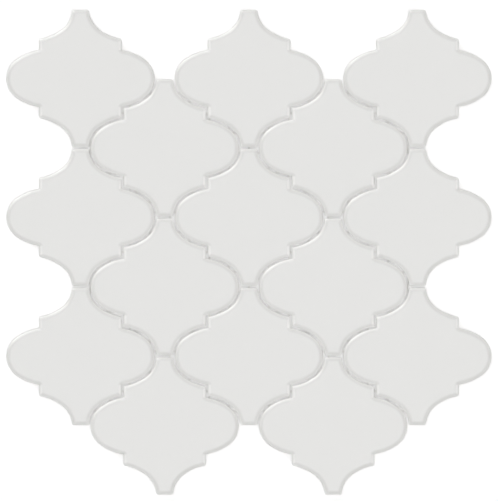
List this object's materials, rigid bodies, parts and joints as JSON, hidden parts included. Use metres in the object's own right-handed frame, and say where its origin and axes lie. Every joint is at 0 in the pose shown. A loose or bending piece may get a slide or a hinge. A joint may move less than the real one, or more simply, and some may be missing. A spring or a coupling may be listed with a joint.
{
  "type": "arabesque mosaic tile sheet",
  "caption": "Mosaic sheet of interlocking lantern-shaped glazed ceramic tiles with even joints, held on a glass-fibre backing net and bonded to a wall by its back.",
  "frame": {"origin": "centre of the sheet's underside, on the backing net", "axes": "+X across the columns, +Y up the rows, +Z out of the glazed face"},
  "size_m": [0.305, 0.3046, 0.007],
  "materials": {
    "glazed_tile": "white glaze, soft gloss, bare biscuit on the lower sides and back",
    "glass_fibre_net": "white coated glass-fibre yarn"
  },
  "bodies": {
    "root": {"lantern_tile_c1_r1": "glazed_tile", "lantern_tile_c1_r2": "glazed_tile", "lantern_tile_c1_r3": "glazed_tile", "lantern_tile_c2_r1": "glazed_tile", "lantern_tile_c2_r2": "glazed_tile", "lantern_tile_c2_r3": "glazed_tile", "lantern_tile_c3_r1": "glazed_tile", "lantern_tile_c3_r2": "glazed_tile", "lantern_tile_c3_r3": "glazed_tile", "lantern_tile_c4_r1": "glazed_tile", "lantern_tile_c4_r2": "glazed_tile", "lantern_tile_c4_r3": "glazed_tile", "lantern_tile_c5_r1": "glazed_tile", "lantern_tile_c5_r2": "glazed_tile", "lantern_tile_c5_r3": "glazed_tile", "backing_net": "glass_fibre_net"}
  },
  "joints": []
}
